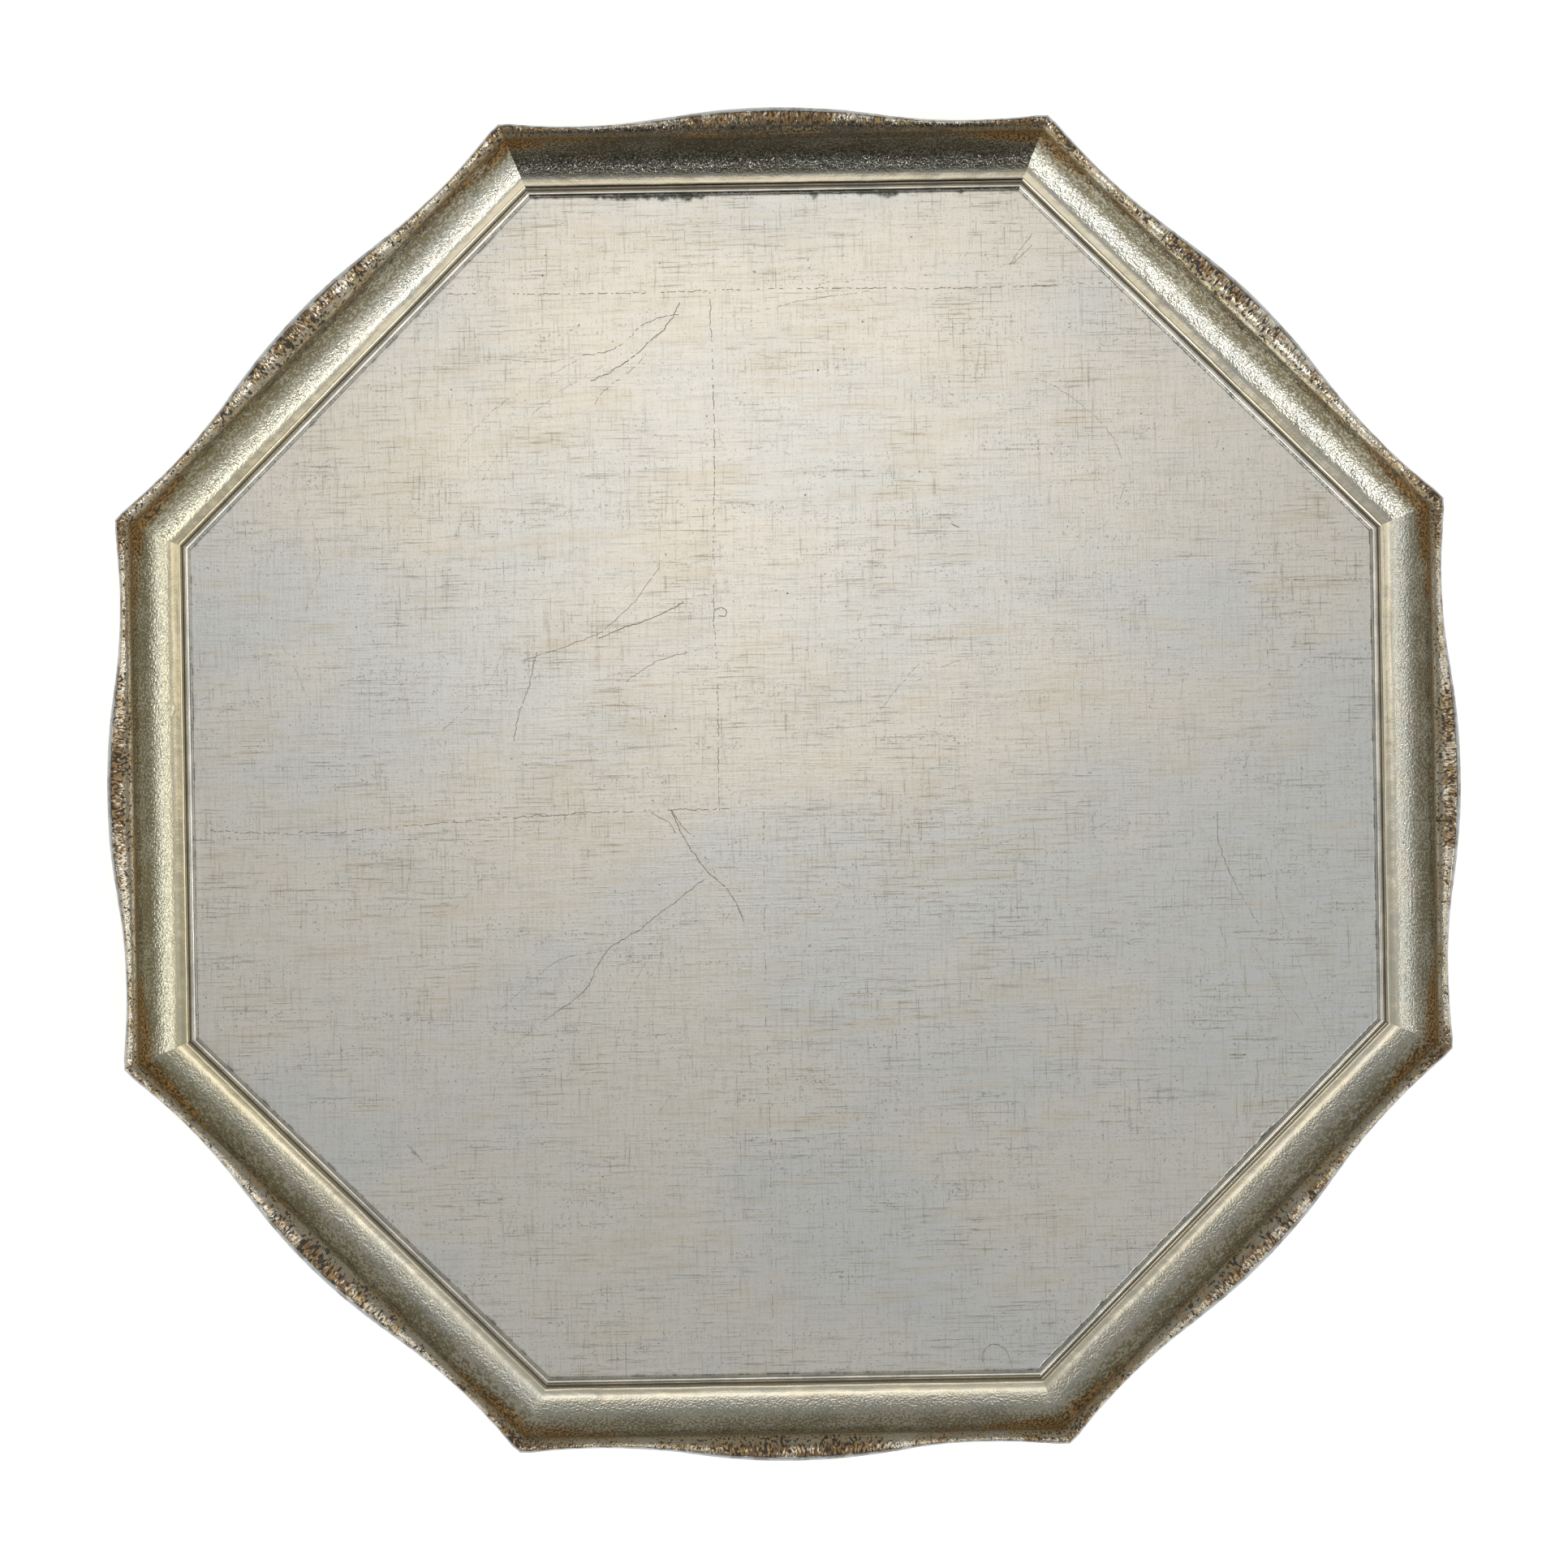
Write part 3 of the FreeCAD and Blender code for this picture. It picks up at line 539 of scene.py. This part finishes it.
def rimTree():
    bench, given = geometryBench("rim from section", rimInputs)
    m = moulding
    section = given["Geometry"]
    grid = bench.node("GeometryNodeMeshGrid", {}, {
        "Size X": 1.0, "Size Y": 1.0,
        "Vertices X": given["Steps Along"] + 1, "Vertices Y": given["Section Points"] + 1,
    })
    u, v = bench.split(bench.node("GeometryNodeInputPosition"))[:2]
    turnOf = bench.figure("ROUND", (v + 0.5) * given["Section Points"])
    index = bench.figure("MODULO", turnOf, given["Section Points"])

    def sampled(value):
        settings = {"data_type": "FLOAT_VECTOR", "domain": "POINT"}
        return bench.node("GeometryNodeSampleIndex", settings, {0: section, 1: value, 2: index})

    def kept(name):
        named = bench.node("GeometryNodeInputNamedAttribute", {"data_type": "FLOAT_VECTOR"}, {"Name": name})
        return bench.split(sampled(named))

    baseX, baseZ = bench.split(sampled(bench.node("GeometryNodeInputPosition")))[::2]
    reachShare, crestShare = kept("shares")[:2]
    across, girth, worked = kept("finish")
    onScotia, faceShare = kept("hollow")[:2]
    # the wave in plan and in height, as two tangent curves each
    along = u * 2 * baseX * given["Half Turn"]
    away = bench.figure("ABSOLUTE", along)
    beyond = away - given["Dip Place"]

    def wave(top, low, radius, hollowRadius):
        meet = given["Dip Place"] * radius / (radius + hollowRadius)
        crown = top - along * along / (2 * radius)
        valley = low + beyond * beyond / (2 * hollowRadius)
        middle = bench.figure("LESS_THAN", away, meet)
        return crown * middle + valley * (1 - middle)

    fromEnd = (0.5 - bench.figure("ABSOLUTE", u)) * 2 * baseX * given["Half Turn"]
    trim = (1 - bench.step(fromEnd, 0.0, m["tipLength"])) * given["Tip Trim"]
    reach = wave(given["Swell Reach"], given["Dip Reach"], m["swellRadius"], m["dipRadius"]) - trim
    crest = wave(given["Swell Crest"], given["Dip Crest"], m["crestSwellRadius"], m["crestDipRadius"])
    crest = crest - trim * 0.5
    x = baseX + reachShare * (reach - given["Dip Reach"])

    def hollowAt(place):
        off = place - m["scotiaX"]
        inside = bench.figure("MAXIMUM", m["scotiaRadius"] ** 2 - off * off, 0.0)
        return m["scotiaZ"] + bench.figure("SQRT", inside)

    lifted = baseZ + crestShare * (crest - given["Dip Crest"])
    lifted = lifted + faceShare * (hollowAt(reach) - scotiaHeight(m["dipReach"]))
    z = lifted * (1 - onScotia) + hollowAt(x) * onScotia
    y = u * 2 * x * given["Half Turn"]
    # marks for the finish, kept before the points move
    swell = 1 - bench.step(away, 6.0, 40.0) * (1 - bench.step(away, 54.0, 66.0))
    rail = bench.vector(along, girth, given["Side"] * m["sideShift"])
    marks = [
        ("rail", "FLOAT_VECTOR", rail), ("across", "FLOAT", across),
        ("swell", "FLOAT", swell), ("worked", "FLOAT", worked),
    ]
    held = grid
    for name, kind, value in marks:
        held = bench.node("GeometryNodeStoreNamedAttribute", {"data_type": kind},
                          {"Geometry": held, "Name": name, "Value": value})
    position = bench.vector(x, y, z)
    placed = bench.node("GeometryNodeSetPosition", {}, {"Geometry": held, "Position": position})

    def mark(name, kind):
        return bench.node("GeometryNodeInputNamedAttribute", {"data_type": kind}, {"Name": name})

    # hand-worked unevenness, which dies away at the mitres
    path = mark("rail", "FLOAT_VECTOR")
    alongMark, girthMark = bench.split(path)[:2]
    work = mark("worked", "FLOAT")
    endFade = bench.step(71.0 - bench.figure("ABSOLUTE", alongMark), 2.0, 14.0)
    low = bench.noise(path, 0.045, 2.0, 0.5) - 0.5
    mid = bench.noise(path, 0.32, 2.0, 0.5) - 0.5
    dx = alongMark - given["Dent Along"]
    dy = girthMark - given["Dent Girth"]
    near = 1 - bench.step(bench.figure("SQRT", dx * dx * 0.35 + dy * dy), 0.2, 1.3)
    amount = (low * given["Ripple"] + mid * given["Tooth"]) * work * endFade
    amount = amount + near * given["Dent Depth"] * work
    shift = bench.scaled(bench.node("GeometryNodeInputNormal"), amount)
    worn = bench.node("GeometryNodeSetPosition", {}, {"Geometry": placed, "Offset": shift})
    px, py, pz = bench.split(bench.node("GeometryNodeInputPosition"))
    px = bench.figure("MINIMUM", px, m["reachLimit"])
    pz = bench.figure("MINIMUM", bench.figure("MAXIMUM", pz, 0.0), m["crestLimit"])
    small = bench.scaled(bench.vector(px, py, pz), mm)
    sized = bench.node("GeometryNodeSetPosition", {}, {"Geometry": worn, "Position": small})
    merged = bench.node("GeometryNodeMergeByDistance", {}, {"Geometry": sized, "Distance": m["weld"]})
    turned = bench.node("GeometryNodeTransform", {}, {
        "Geometry": merged, "Rotation": bench.vector(0.0, 0.0, given["Side"] * math.radians(45)),
    })
    smooth = bench.node("GeometryNodeSetShadeSmooth", {}, {"Geometry": turned, "Shade Smooth": True})
    endTree(bench, smooth, finishes["rim"])
    return bench


def closeEnds(form):  # mitre faces, with a crisp edge where two mouldings meet
    loose = [edge for edge in form.edges if edge.is_boundary]
    made = bmesh.ops.holes_fill(form, edges=loose, sides=0)["faces"]
    for face in made:
        face.smooth = False
        for edge in face.edges:
            edge.smooth = False


dents = {  # along, girth and depth of each side's one knock, in millimetres
    "north_east": (-38.0, 20.0, -0.55),
    "south_east": (44.0, 16.0, -0.4),
    "west": (-22.0, 7.2, -0.18),
}


def makeRims():
    host, count = sectionHost()
    bench = rimTree()
    m = moulding
    rims = []
    for side, name in enumerate(sideNames):
        dent = dents.get(name, (0.0, -50.0, 0.0))
        mesh = grown("leafed_" + name, host, bench, {
            "Section Points": count, "Steps Along": m["stepsAlong"], "Side": side, "Half Turn": halfTurn,
            "Swell Reach": m["swellReach"], "Dip Reach": m["dipReach"],
            "Swell Crest": m["swellCrest"], "Dip Crest": m["dipCrest"], "Dip Place": m["dipPlace"],
            "Tip Trim": m["tipTrim"], "Ripple": m["ripple"], "Tooth": m["tooth"],
            "Dent Along": dent[0], "Dent Girth": dent[1], "Dent Depth": dent[2],
        })
        turnOutward(mesh, closeEnds)
        rim = addObject("leafed_rim_" + name, mesh)
        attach(rim, "root")
        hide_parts("rim_" + name)
        rims.append(rim)
    bpy.data.objects.remove(host)
    return rims


rims = makeRims()
print("rims swept:", len(rims[0].data.vertices), "points each")


# leafed ground on the board
ground = {
    "reach": 151.2,
    "low": 6.02,
    "top": 6.5,
    "fineStep": 0.36,
    "fineBand": 4.0,
    "perSide": 352,
    "sink": 0.06,
    "chipSink": 0.16,
    "ripple": 0.05,
    "northSpread": 24,
    "eastSpread": 22,
}


def octagonPoint(reach, k, perSide):  # k runs round the octagon, starting on the east-north-east corner
    side, step = divmod(k, perSide)
    middle = math.radians(45 * (side + 1))
    across, up = math.cos(middle), math.sin(middle)
    y = reach * halfTurn * (2 * step / perSide - 1)
    return (reach * across - y * up, reach * up + y * across)


def fractal(x, y, scale, shift=0.0):
    return noise.fractal(Vector((x * scale, y * scale, shift)), 0.8, 2.2, 3)


def chipDepth(x, y, inset):  # flakes lost along the edge: most on the north side, few on the others
    side = math.degrees(math.atan2(y, x)) % 360
    north = max(0.0, 1 - abs(side - 90) / ground["northSpread"])
    east = max(0.0, 1 - min(side, 360 - side) / ground["eastSpread"])
    flake = fractal(x, y, 0.30, 3.7) + 0.7 * fractal(x, y, 0.07, 8.1)
    reach = 0.04 + 0.36 * north + 0.22 * east
    edge = inset / (0.55 + 1.5 * north)
    return min(1.0, max(0.0, (reach + flake * 1.1 - edge - 0.30) * 5))


def smoothTop(form):  # the slab's edge stays flat
    for face in form.faces:
        face.smooth = abs(face.normal.z) > 0.3


def makeGround():
    g = ground
    rings = []
    inset = 0.0
    count = 8 * g["perSide"]
    step = g["fineStep"]
    while count >= 8:
        rings.append((g["reach"] - inset, count))
        inset += step
        if inset > g["fineBand"]:
            if count > 88:
                count //= 2
            step = min(step * 1.9, 20.0)
        if inset > g["reach"] - 6:
            break
    points, faces, chips, starts = [], [], [], []
    for reach, n in rings:
        starts.append(len(points))
        for k in range(n):
            x, y = octagonPoint(reach, k, n // 8)
            inset = g["reach"] - reach
            chip = chipDepth(x, y, inset) if inset < g["fineBand"] else 0.0
            ripple = g["ripple"] * fractal(x, y, 0.02, 1.3) if inset > 1 else 0.0
            points.append((x, y, g["top"] - g["sink"] + ripple * 0.5 - g["chipSink"] * chip))
            chips.append(chip)
    loops = list(zip(starts, [n for reach, n in rings]))
    for (a, n), (b, m) in zip(loops, loops[1:]):
        if n == m:
            faces += [(a + k, a + (k + 1) % n, b + (k + 1) % n, b + k) for k in range(n)]
        else:
            for k in range(m):
                last = (2 * k + 2) % n
                faces.append((a + 2 * k, a + 2 * k + 1, b + k))
                faces.append((a + 2 * k + 1, a + last, b + (k + 1) % m, b + k))
    faces.append(tuple(starts[-1] + k for k in range(rings[-1][1])))
    n = rings[0][1]
    rim = len(points)  # the slab's edge and underside
    points += [(points[k][0], points[k][1], g["low"]) for k in range(n)]
    chips += [0.0] * n
    faces += [(k, rim + k, rim + (k + 1) % n, (k + 1) % n) for k in range(n)]
    faces.append(tuple(rim + n - 1 - k for k in range(n)))
    mesh = bpy.data.meshes.new("leafed_ground")
    mesh.from_pydata([(x * mm, y * mm, z * mm) for x, y, z in points], [], faces)
    layer = mesh.attributes.new("chip", "FLOAT", "POINT")
    layer.data.foreach_set("value", chips)
    mesh.materials.append(finishes["panel"])
    turnOutward(mesh, smoothTop)
    panel = addObject("leafed_ground", mesh)
    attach(panel, "root")
    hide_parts("panel_ground")
    return panel


groundPiece = makeGround()
print("ground laid:", len(groundPiece.data.polygons), "faces")


# laps between the squares of leaf, and wrinkles in them
# each line: points in millimetres, half width, how broken it is, how far it wanders
laps = [
    ([(-86, 127), (-40, 126.5), (0, 127), (50, 126.4), (91, 127.2)], 0.10, 0.50, 0.5),
    ([(-150.5, -9.5), (-118, -10.5), (-80, -8), (-46, -6.5), (-14, -6.0)], 0.11, 0.44, 0.8),
    ([(126, 50.5), (138, 50), (150.4, 50.2)], 0.10, 0.50, 0.5),
    ([(-17, 127), (-16.4, 90), (-17.2, 50), (-16.6, 20), (-16.8, -5)], 0.10, 0.44, 0.5),
    ([(-5.3, -7), (-5.6, -50), (-5, -100), (-5.4, -150)], 0.09, 0.52, 0.5),
    ([(123, 95), (124, 50), (125.5, 0), (126, -60)], 0.07, 0.62, 0.5),
]
wrinkles = [
    ([(-48, 104), (-40, 108), (-30, 116), (-26, 121), (-25, 124)], 0.13, 0.30, 0.6),
    ([(-25, 121), (-33, 119), (-42, 112), (-50, 111)], 0.10, 0.42, 0.6),
    ([(-30, 116), (-36, 108), (-44, 102), (-47, 98)], 0.08, 0.46, 0.6),
    ([(-50, 110), (-62, 104), (-74, 96), (-84, 84), (-88, 74)], 0.06, 0.50, 0.5),
    ([(-44, 108), (-58, 100), (-70, 88), (-78, 76)], 0.05, 0.52, 0.5),
    ([(-6, 121), (8, 124), (24, 126)], 0.06, 0.45, 0.4),
    ([(-47, 38), (-40, 41), (-33, 43), (-25, 47)], 0.12, 0.28, 0.5),
    ([(-66, 33), (-56, 36), (-46, 40), (-38, 47), (-31, 56)], 0.08, 0.40, 0.5),
    ([(-63, 35), (-65, 26), (-68, 18), (-69, 12)], 0.10, 0.36, 0.5),
    ([(-72, 34), (-76, 26), (-84, 18), (-92, 12)], 0.05, 0.5, 0.5),
    ([(-40, 27), (-32, 32), (-24, 34)], 0.08, 0.38, 0.4),
    ([(-29, -6), (-28, -9), (-25, -15), (-20, -22), (-14, -28), (-11, -35)], 0.13, 0.26, 0.6),
    ([(-29, -6), (-26, -11), (-23, -13)], 0.10, 0.3, 0.4),
    ([(-28, -12), (-30, -9), (-34, -7)], 0.10, 0.3, 0.4),
    ([(-21, -24), (-30, -31), (-38, -37), (-46, -42), (-52, -52), (-60, -58)], 0.11, 0.30, 0.6),
    ([(-46, -42), (-58, -44), (-66, -50), (-74, -57)], 0.06, 0.42, 0.5),
    ([(-60, -58), (-68, -64), (-74, -72), (-76, -80)], 0.06, 0.46, 0.5),
    ([(-30, -31), (-33, -40), (-40, -52), (-44, -64)], 0.05, 0.5, 0.5),
    ([(-52, -52), (-55, -66), (-58, -78)], 0.05, 0.5, 0.5),
    ([(111, -9), (111.5, -18), (116, -29), (121, -38)], 0.10, 0.32, 0.5),
    ([(111, -20), (109, -30), (113, -44)], 0.06, 0.46, 0.4),
    ([(123, -20), (128, -38), (134, -56), (140, -70)], 0.05, 0.46, 0.3),
    ([(120, -44), (127, -56), (132, -64)], 0.06, 0.42, 0.3),
    ([(130, -34), (137, -46), (142, -58)], 0.05, 0.50, 0.3),
    ([(113, -46), (119, -58), (123, -70)], 0.05, 0.50, 0.3),
    ([(113, -71.3), (117.3, -71.3)], 0.16, 0.0, 0.1),
    ([(113, -72.2), (116.6, -72.2)], 0.10, 0.1, 0.1),
    ([(-98, -91), (-95, -94)], 0.14, 0.1, 0.2),
    ([(-97, -92.6), (-94.5, -95)], 0.10, 0.1, 0.2),
    ([(49, -150.6), (48.4, -147), (51, -144.4), (54.5, -146), (56, -150.4)], 0.12, 0.12, 0.2),
    ([(-17, 44.8), (-15.5, 45.6), (-14, 44.6), (-14.4, 43.2), (-16, 43.4)], 0.13, 0.1, 0.2),
    ([(66, 103), (74, 99), (84, 90), (88, 82)], 0.06, 0.44, 0.5),
    ([(90, 78), (84, 66), (74, 58)], 0.05, 0.5, 0.5),
    ([(44, 66), (46, 65)], 0.16, 0.0, 0.1),
    ([(-134, 48), (-126, 34), (-120, 20)], 0.05, 0.5, 0.5),
    ([(-120, 70), (-118, 58), (-122, 46)], 0.06, 0.46, 0.5),
    ([(66, 137), (60, 132), (66, 140)], 0.08, 0.35, 0.3),
]
leafLine = {
    "surface": 6.455,
    "step": 0.55,
    "seed": 5,
    "faint": 46,
    "sides": 5,
    "wanderScale": 0.5,
    "curveStep": 2.5,
    "edge": 150.6,
}


def lineSet():
    draw = random.Random(leafLine["seed"])
    lines = laps + wrinkles
    for i in range(leafLine["faint"]):  # faint stray hairlines, mostly rising to the right
        x, y = draw.uniform(-120, 120), draw.uniform(-125, 125)
        turn = math.radians(draw.gauss(8, 16) if i % 3 else draw.uniform(40, 110))
        size = draw.uniform(8, 26)
        bend = draw.uniform(-0.25, 0.25)
        points = []
        for k in range(5):
            heading = turn + bend * (k - 2) / 2
            points.append((x, y))
            x, y = x + math.cos(heading) * size / 4, y + math.sin(heading) * size / 4
        lines = lines + [(points, draw.uniform(0.04, 0.06), draw.uniform(0.48, 0.58), 0.4)]
    return lines


def inside(x, y, reach):
    turns = [math.radians(45 * k) for k in range(8)]
    return max(x * math.cos(turn) + y * math.sin(turn) for turn in turns) < reach


def wrinkleHost():
    points, edges, traits = [], [], []
    for line, width, broken, wander in lineSet():
        line = [Vector(p) for p in line]
        smooth = []
        for i in range(len(line) - 1):  # Catmull-Rom between the chosen points
            a, b, c, d = line[max(i - 1, 0)], line[i], line[i + 1], line[min(i + 2, len(line) - 1)]
            parts = max(2, int((c - b).length / leafLine["curveStep"]))
            for k in range(parts):
                t = k / parts
                smooth.append(0.5 * (2 * b + (c - a) * t + (2 * a - 5 * b + 4 * c - d) * t * t
                                     + (3 * b - 3 * c + d - a) * t ** 3))
        smooth.append(line[-1])
        smooth = [p for p in smooth if inside(p.x, p.y, leafLine["edge"])]
        first = len(points)
        points += [(p.x, p.y, leafLine["surface"]) for p in smooth]
        traits += [(width, broken, wander)] * len(smooth)
        edges += [(first + k, first + k + 1) for k in range(len(smooth) - 1)]
    mesh = bpy.data.meshes.new("leaf lines")
    mesh.from_pydata(points, edges, [])
    layer = mesh.attributes.new("traits", "FLOAT_VECTOR", "POINT")
    layer.data.foreach_set("vector", [number for trait in traits for number in trait])
    return addObject("leaf lines", mesh)


def wrinkleTree():
    bench, given = geometryBench("raised leaf edges", ["Step", "Sides", "Wander Scale", "Seed"])
    lines = bench.node("GeometryNodeMeshToCurve", {}, {"Mesh": given["Geometry"]})
    spacing = {"Curve": lines, "Length": given["Step"]}
    spaced = bench.node("GeometryNodeResampleCurve", {"mode": "LENGTH"}, spacing)
    thread = bench.node("GeometryNodeCurveToMesh", {}, {"Curve": spaced})
    traits = bench.node("GeometryNodeInputNamedAttribute", {"data_type": "FLOAT_VECTOR"}, {"Name": "traits"})
    width, broken, wander = bench.split(traits)
    point = bench.node("GeometryNodeInputPosition")
    place = bench.vectorMath("ADD", point, bench.vector(0, 0, given["Seed"]))
    jitter = bench.noise(place, given["Wander Scale"], 3.0, 0.7, out=1)
    offset = bench.vectorMath("SUBTRACT", jitter, (0.5, 0.5, 0.5))
    offset = bench.vectorMath("MULTIPLY", offset, (1.0, 1.0, 0.0))
    offset = bench.scaled(offset, wander * 3)
    moved = bench.node("GeometryNodeSetPosition", {}, {"Geometry": thread, "Offset": offset})
    breaks = bench.noise(place, 0.9, 2.0, 0.7) + bench.noise(place, 0.12, 1.0, 0.5) * 0.5 - 0.25
    gap = bench.node("FunctionNodeCompare", {"operation": "LESS_THAN"}, {0: breaks, 1: broken})
    cut = {"Geometry": moved, "Selection": gap}
    dashes = bench.node("GeometryNodeDeleteGeometry", {"domain": "EDGE"}, cut)
    curves = bench.node("GeometryNodeMeshToCurve", {}, {"Mesh": dashes})
    ringSizes = {"Resolution": given["Sides"], "Radius": 1.0}
    profile = bench.node("GeometryNodeCurvePrimitiveCircle", {}, ringSizes)
    plump = 0.55 + bench.noise(place, 1.4, 1.0, 0.5) * 0.9
    tube = bench.node("GeometryNodeCurveToMesh", {}, {
        "Curve": curves, "Profile Curve": profile, "Scale": width * plump, "Fill Caps": True,
    })
    sized = bench.node("GeometryNodeTransform", {}, {"Geometry": tube, "Scale": (mm, mm, mm)})
    smooth = bench.node("GeometryNodeSetShadeSmooth", {}, {"Geometry": sized, "Shade Smooth": True})
    endTree(bench, smooth, finishes["wrinkle"])
    return bench


def makeWrinkles():
    host = wrinkleHost()
    sizes = {
        "Step": leafLine["step"], "Sides": leafLine["sides"],
        "Wander Scale": leafLine["wanderScale"], "Seed": leafLine["seed"],
    }
    mesh = grown("leaf_laps", host, wrinkleTree(), sizes)
    turnOutward(mesh)
    bpy.data.objects.remove(host)
    made = addObject("leaf_laps", mesh)
    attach(made, "root")
    return made


leafEdges = makeWrinkles()
print("leaf edges raised:", len(leafEdges.data.polygons), "faces")


# board, keys and brads keep their own shapes
def finishNode(name, finish):
    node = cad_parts[name]
    node.data.materials.clear()
    node.data.materials.append(finish)


finishNode("tray_panel", finishes["board"])
finishNode("panel_brads", finishes["brad"])
for corner in cornerNames:
    finishNode("mitre_key_" + corner, finishes["key"])
print("board, keys and brads finished")


# floor, light and camera
studio = {
    "floorHalf": 4.0,
    "floorLow": -0.0001,
    "floorTone": (0.90, 0.90, 0.89),
    "floorGlow": 0.74,
    "lampTone": (1.0, 0.89, 0.76),
    "lampPower": 0.17,
    "lampPlace": (-0.02, 0.128, 0.72),
    "lampSize": 0.26,
    "skyTones": [
        (0.0, (0.31, 0.305, 0.28)), (0.55, (0.23, 0.225, 0.20)),
        (0.80, (0.28, 0.28, 0.27)), (0.95, (0.475, 0.475, 0.465)),
    ],
    "nearShade": (0.036, 0.027, 0.009),
    "nearSpread": 0.75,
    "nearFull": 0.66,
    "backTone": (0.93, 0.93, 0.92),
    "lensLength": 178.0,
    "sensorWidth": 36.0,
    "clipStart": 0.05,
    "clipEnd": 50.0,
    "eyeHeight": 1.994,
    "turn": -0.95,
}
# direction, cosine where it starts and where it is full, strength and tint of each soft patch
patches = [
    ((0.74, 0.03, 0.67), 0.96, 0.99, 1.7, (1.0, 0.99, 0.95)),
    ((0.46, -0.40, 0.79), 0.975, 0.996, 3.2, (1.0, 1.0, 0.98)),
    ((-0.58, -0.53, 0.62), 0.97, 0.994, 3.2, (1.0, 1.0, 0.98)),
    ((-0.68, 0.03, 0.73), 0.96, 0.99, 1.0, (1.0, 1.0, 0.97)),
    ((0.0, 0.42, 0.91), 0.90, 0.985, 0.22, (1.0, 0.97, 0.90)),
    ((0.36, 0.36, 0.86), 0.91, 0.98, 0.26, (1.0, 1.0, 0.98)),
    ((0.68, -0.68, 0.28), 0.86, 0.96, 0.35, (1.0, 0.98, 0.92)),
    ((-0.68, -0.68, 0.28), 0.86, 0.96, 0.35, (1.0, 0.98, 0.92)),
]


def makeFloor():
    half = studio["floorHalf"]
    mesh = bpy.data.meshes.new("floor")
    low = studio["floorLow"]
    corners = [(-half, -half, low), (half, -half, low), (half, half, low), (-half, half, low)]
    mesh.from_pydata(corners, [], [(0, 1, 2, 3)])

    def paint(bench):
        place = bench.millimetres()
        tone = 1 + (bench.noise(place, 0.004, 2.0, 0.5) - 0.5) * 0.01
        colour = bench.mix(1.0, studio["floorTone"], bench.vector(tone, tone, tone), "MULTIPLY")
        return {"Base Color": colour, "Roughness": 0.9, "Emission Color": colour,
                "Emission Strength": studio["floorGlow"]}

    mesh.materials.append(material("pale floor", paint))
    floor = addObject("floor", mesh)


def makeSky():
    world = bpy.data.worlds.new("soft studio")
    world.use_nodes = True
    world.node_tree.nodes.clear()
    bench = Bench(world.node_tree)
    direction = bench.node("ShaderNodeTexCoord", {}, {}, "Generated")
    x, y, z = bench.split(direction)
    level = bench.ramp(bench.limit(z), studio["skyTones"])
    # little light comes from the near side
    near = 0 - y - bench.figure("ABSOLUTE", x) * studio["nearSpread"]
    shaded = bench.mix(1.0, level, studio["nearShade"], "MULTIPLY")
    total = bench.mix(bench.step(near, 0.0, studio["nearFull"]), level, shaded)
    for axis, start, full, strength, tint in patches:
        axis = Vector(axis).normalized()
        toward = bench.node("ShaderNodeVectorMath", {"operation": "DOT_PRODUCT"},
                            {0: direction, 1: tuple(axis)}, "Value")
        share = bench.step(toward, start, full) * strength
        glow = bench.mix(1.0, bench.vector(share, share, share), tint, "MULTIPLY")
        total = bench.mix(1.0, total, glow, "ADD")
    seen = bench.node("ShaderNodeLightPath", {}, {}, "Is Camera Ray")
    total = bench.mix(seen, total, studio["backTone"])
    sky = bench.node("ShaderNodeBackground", {}, {"Color": total, "Strength": 1.0})
    output = world.node_tree.nodes.new("ShaderNodeOutputWorld")
    bench.plug(output.inputs["Surface"], sky)
    bpy.context.scene.world = world


def makeLamp():
    lamp = bpy.data.lights.new("overhead softbox", "AREA")
    lamp.shape = "DISK"
    lamp.size = studio["lampSize"]
    lamp.energy = studio["lampPower"]
    lamp.color = studio["lampTone"]
    holder = addObject("overhead softbox", lamp)
    holder.location = studio["lampPlace"]
    holder.visible_camera = False


def makeCamera():
    camera = bpy.data.cameras.new("camera")
    camera.lens = studio["lensLength"]
    camera.sensor_width = studio["sensorWidth"]
    camera.clip_start = studio["clipStart"]
    camera.clip_end = studio["clipEnd"]
    holder = addObject("camera", camera)
    holder.location = (0.0, 0.0, studio["eyeHeight"])
    holder.rotation_euler = (0.0, 0.0, math.radians(studio["turn"]))
    bpy.context.scene.camera = holder


makeFloor()
makeSky()
makeLamp()
makeCamera()
bpy.context.scene.view_settings.view_transform = "Standard"
print("floor, light and camera set")
